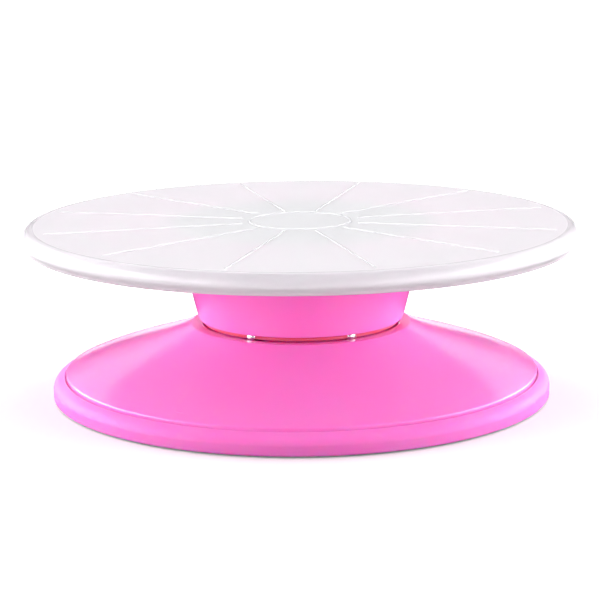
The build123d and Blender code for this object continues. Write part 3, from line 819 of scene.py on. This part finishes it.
# ------------------------------------------------------------------ base ring
def ring():
    radius = radius_of("base_ring")
    low = bottom_of("base_ring")
    lip = radius_of("base_shell") + 0.4      # clears the cover's edge
    ledge = bottom_of("base_shell")          # the cover stands on it
    outer = spline([(123.2, 9.8), (125.3, 8.2), (radius, 5.4)], (1, -0.45), (0, -1), 10)
    skin = turned("ring_skin", outline(
        (lip, ledge), (103.0, ledge, 0.4), (103.0, 2.2, 0.3), (105.2, 2.2, 0.3),
        (105.2, ledge - 2.5, 0.5), (123.8, ledge - 2.5, 0.5), (123.8, low, 0.25),
        (radius, low, 0.7), outer[::-1], (lip + 0.3, 11.0, 0.15), (lip, 10.7, 0.1)), 300)
    adds, cuts = [], []
    adds.append(turned("centring", outline(
        (115.2, ledge - 0.5), (117.1, ledge - 0.5), (117.1, ledge + 1.3, 0.3),
        (115.2, ledge + 1.3, 0.3)), 240))
    rib_low, rib_top = 2.6, 7.0
    rib = [(104.2, rib_low), (124.6, rib_low), (124.6, rib_top), (104.2, rib_top)]
    for i in range(12):
        adds.append(fin("rib", rib, 15 + 30 * i, wide=(2.0, rib_top), narrow=(1.6, rib_low)))
    bore = outline((0, 0.9), (7.1, 0.9), (7.1, 3.4), (2.55, 3.4), (2.55, 6.8), (0, 6.8))
    for i in range(6):
        centre = around(114.5, 30 + 60 * i)
        adds.append(boss("socket", (8.7, 1.7), (8.85, rib_top), 0.3, 56, centre))
        cuts.append(turned("bore", bore, 48, centre))
        cuts.append(cylinder("hole", 1.7, 5.0, 10.0, 32, around(COVER_CIRCLE, 60 * i)))
    moulding("base_ring_moulding", skin, adds, cuts, "base_ring", "base", "pink_plastic")


# ------------------------------------------------------------------ screws
TURNS = (8, 41, 77, 23, 59, 34)          # how far each screw of a set is turned, degrees


def pan_head(low, seat, radius):
    """Side view of a pan head from its lowest point up to its bearing face."""
    height = seat - low
    # share of the radius, share of the height
    shares = ((0.42, 0), (0.66, 0.09), (0.84, 0.26), (0.95, 0.50), (1, 0.72))
    points = [(radius * across, low + height * up) for across, up in shares]
    return [(0, low)] + points + [(radius, seat, 0.12)]


def threaded(head, seat, end, core, crest, pitch, tip, sides, per_turn):
    """A screw on the Z axis, head down: turned head, then a shank with a cut thread."""
    length = end - seat - 0.3
    steps = int(round(length / pitch * per_turn))
    rows = [(core, seat + 0.3 + length * i / steps) for i in range(steps + 1)]
    profile = outline(*head, (core, seat), rows, tip, (0, tip[1]))

    def place(r, z, j):
        a = 2 * math.pi * j / sides
        if abs(r - core) < 1e-6 and z > seat + 0.2:
            phase = (z / pitch - j / sides) % 1.0
            rise = max(0.0, 1.0 - abs(phase - 0.5) / 0.30) ** 0.8
            fade = min((z - seat - 0.2) / pitch, (end - z) / (pitch * 1.2) + 0.15, 1.0)
            r = core + (crest - core) * rise * max(fade, 0.0)
        return (r * math.cos(a), r * math.sin(a), z)

    return turned("one", profile, sides, place=place)


def screws(name, node, circle, turns, seat, head_r, recess, **thread):
    """The same screw every 60 degrees round a circle, each turned by its own amount.

    recess is the half length, half width and depth of the cross in the head."""
    low = bottom_of(node)
    one = threaded(pan_head(low, seat, head_r), seat, **thread)
    long, wide, depth = recess
    slot = [(-long, -wide), (long, -wide), (long, wide), (-long, wide)]
    cross = [block("recess", slot, low - 0.2, low + depth, angle, shrink=0.55)
             for angle in (0, 90)]
    combine(one, cross, "DIFFERENCE")
    bm = bmesh.new()
    for i, turn in enumerate(turns):
        x, y = around(circle, 60 * i)
        copy = one.data.copy()
        copy.transform(Matrix.Translation((x * MM, y * MM, 0))
                       @ Matrix.Rotation(math.radians(turn), 4, "Z"))
        bm.from_mesh(copy)
        bpy.data.meshes.remove(copy)
    mesh = bpy.data.meshes.new(name)
    bm.to_mesh(mesh)
    bm.free()
    bpy.data.objects.remove(one)
    finish(name, scene_object(name, mesh), node, BODIES[node], "zinc_steel", sharp=40.0)


plate()
collar()
cover()
ring()
screws("collar_screw_set", "collar_screws", POST_CIRCLE, TURNS, seat=POST_SEAT, head_r=3.8,
       recess=(2.1, 0.45, 1.5), end=82.6, core=1.45, crest=1.9, pitch=1.5, tip=(0.5, 84.0),
       sides=36, per_turn=10)
ring_seat = bottom_of("base_ring_screws") + 2.2
screws("base_ring_screw_set", "base_ring_screws", COVER_CIRCLE, TURNS[::-1], seat=ring_seat,
       head_r=3.0, recess=(1.7, 0.38, 1.2), end=ring_seat + 5.1, core=1.08, crest=1.42,
       pitch=1.15, tip=(0.4, ring_seat + 6.2), sides=32, per_turn=10)
screws("pivot_screw_threaded", "pivot_screw", 0.0, (17,), seat=14.5, head_r=4.75,
       recess=(2.6, 0.55, 1.9), end=27.8, core=2.03, crest=2.45, pitch=0.8, tip=(1.75, 28.5),
       sides=40, per_turn=9)

# ------------------------------------------------------------------ studio
scene = bpy.context.scene
scene.view_settings.view_transform = "Standard"
scene.view_settings.look = "None"
scene.view_settings.exposure = 0.0
scene.view_settings.gamma = 1.0


def studio_floor():
    half = 30.0                              # metres
    mesh = bpy.data.meshes.new("floor")
    mesh.from_pydata([(-half, -half, 0), (half, -half, 0), (half, half, 0), (-half, half, 0)],
                     [], [(0, 1, 2, 3)])
    scene_object("floor", mesh)
    mat = bpy.data.materials.new("studio_floor")
    mat.use_nodes = True
    tree = mat.node_tree
    shader = tree.nodes["Principled BSDF"].inputs
    shader["Roughness"].default_value = 0.9
    shader["Specular IOR Level"].default_value = 0.0
    seen = add_node(tree, "ShaderNodeLightPath").outputs["Is Camera Ray"]
    place = add_node(tree, "ShaderNodeTexCoord").outputs["Object"]
    distance = add_node(tree, "ShaderNodeVectorMath", {0: place}, operation="LENGTH")

    def by_distance(start, end, near, far):
        return add_node(tree, "ShaderNodeMapRange", {
            "From Min": start, "From Max": end, "To Min": near, "To Max": far,
            "Value": distance.outputs["Value"]},
            interpolation_type="SMOOTHSTEP").outputs["Result"]

    # the table throws back less light than it shows, as a dark studio round it would
    thrown = by_distance(start=0.16, end=0.32, near=0.02, far=0.90)
    shown = (0.93, 0.93, 0.93, 1)
    colour = add_node(tree, "ShaderNodeMix", {0: seen, 6: thrown, 7: shown}, data_type="RGBA")
    put(shader["Base Color"], colour.outputs[2])
    glow = by_distance(start=0.12, end=0.30, near=0.10, far=0.60)
    shader["Emission Color"].default_value = (1, 1, 1, 1)
    put(shader["Emission Strength"], math_node(tree, "MULTIPLY", seen, glow))
    mesh.materials.append(mat)


# the cove round the object: strength by height above the horizon (rows) and by
# direction (columns: behind, behind and aside, aside, in front and aside, in front)
COVE = ((0.1, 3.4, 6.2, 5.8, 0.3),
        (0.9, 8.6, 8.6, 1.9, 0.05),
        (1.0, 1.2, 0.1, 0.0, 0.0))
COVE_TOP = 0.0                           # strength above the highest row
COVE_UP = (12.0, 30.0, 55.0)             # degrees up where the rows end
COVE_ROUND = (35.0, 75.0, 110.0, 150.0)  # degrees from +Y where the columns change
COVE_UP_BLUR, COVE_ROUND_BLUR = 7.0, 14.0
COVE_GAIN = 1.21
SEEN_STRENGTH = 1.05                     # background as the camera sees it


def studio_world():
    world = bpy.data.worlds.new("studio")
    world.use_nodes = True
    scene.world = world
    tree = world.node_tree
    tree.nodes.clear()

    def calc(operation, first, second=0.0):
        return math_node(tree, operation, first, second)

    def step(value, edge, blur):
        return add_node(tree, "ShaderNodeMapRange", {
            "From Min": edge - blur, "From Max": edge + blur, "Value": value},
            interpolation_type="SMOOTHSTEP").outputs["Result"]

    direction = add_node(tree, "ShaderNodeTexCoord").outputs["Generated"]
    x, y, z = add_node(tree, "ShaderNodeSeparateXYZ", {0: direction}).outputs
    degrees = 180 / math.pi
    above = calc("MULTIPLY", calc("ARCSINE", z), degrees)
    about = calc("MULTIPLY", calc("ARCTAN2", calc("ABSOLUTE", x), y), degrees)
    rows = [1.0] + [step(above, edge, COVE_UP_BLUR) for edge in COVE_UP]
    columns = [1.0] + [step(about, edge, COVE_ROUND_BLUR) for edge in COVE_ROUND] + [0.0]
    total = calc("MULTIPLY", rows[3], COVE_TOP)
    for i, strengths in enumerate(COVE):
        row = calc("SUBTRACT", rows[i], rows[i + 1])
        for j, strength in enumerate(strengths):
            cell = calc("MULTIPLY", row, calc("SUBTRACT", columns[j], columns[j + 1]))
            total = calc("ADD", total, calc("MULTIPLY", cell, strength))
    white = (1, 1, 1, 1)
    seen, lit = (
        add_node(tree, "ShaderNodeBackground", {"Color": white, "Strength": strength}).outputs[0]
        for strength in (SEEN_STRENGTH, calc("MULTIPLY", total, COVE_GAIN)))
    camera_ray = add_node(tree, "ShaderNodeLightPath").outputs["Is Camera Ray"]
    mixer = add_node(tree, "ShaderNodeMixShader", {0: camera_ray, 1: lit, 2: seen})
    add_node(tree, "ShaderNodeOutputWorld", {"Surface": mixer.outputs[0]})


# ------------------------------------------------------------------ camera
CAMERA_BACK, CAMERA_HEIGHT = 1013.187, 261.293       # mm towards -Y, and up
CAMERA_LENS, SENSOR_WIDTH = 121.98504, 36.0          # mm
# radians: pitch down, roll lifting the right side, yaw from +Y towards +X
PITCH, ROLL, YAW = 0.2085799, -0.0093763, -0.0004383


def studio_camera():
    forward = Vector((math.sin(YAW) * math.cos(PITCH), math.cos(YAW) * math.cos(PITCH),
                      -math.sin(PITCH)))
    level_right = Vector((math.cos(YAW), -math.sin(YAW), 0))
    level_up = Vector((math.sin(YAW) * math.sin(PITCH), math.cos(YAW) * math.sin(PITCH),
                       math.cos(PITCH)))
    right = level_right * math.cos(ROLL) + level_up * math.sin(ROLL)
    up = level_up * math.cos(ROLL) - level_right * math.sin(ROLL)
    data = bpy.data.cameras.new("camera")
    data.sensor_width = SENSOR_WIDTH
    data.lens = CAMERA_LENS
    data.clip_start, data.clip_end = 0.05, 100.0
    camera = bpy.data.objects.new("camera", data)
    camera.matrix_world = Matrix((
        (right.x, up.x, -forward.x, 0.0),
        (right.y, up.y, -forward.y, -CAMERA_BACK * MM),
        (right.z, up.z, -forward.z, CAMERA_HEIGHT * MM),
        (0, 0, 0, 1)))
    scene.collection.objects.link(camera)
    scene.camera = camera


studio_floor()
studio_world()
studio_camera()
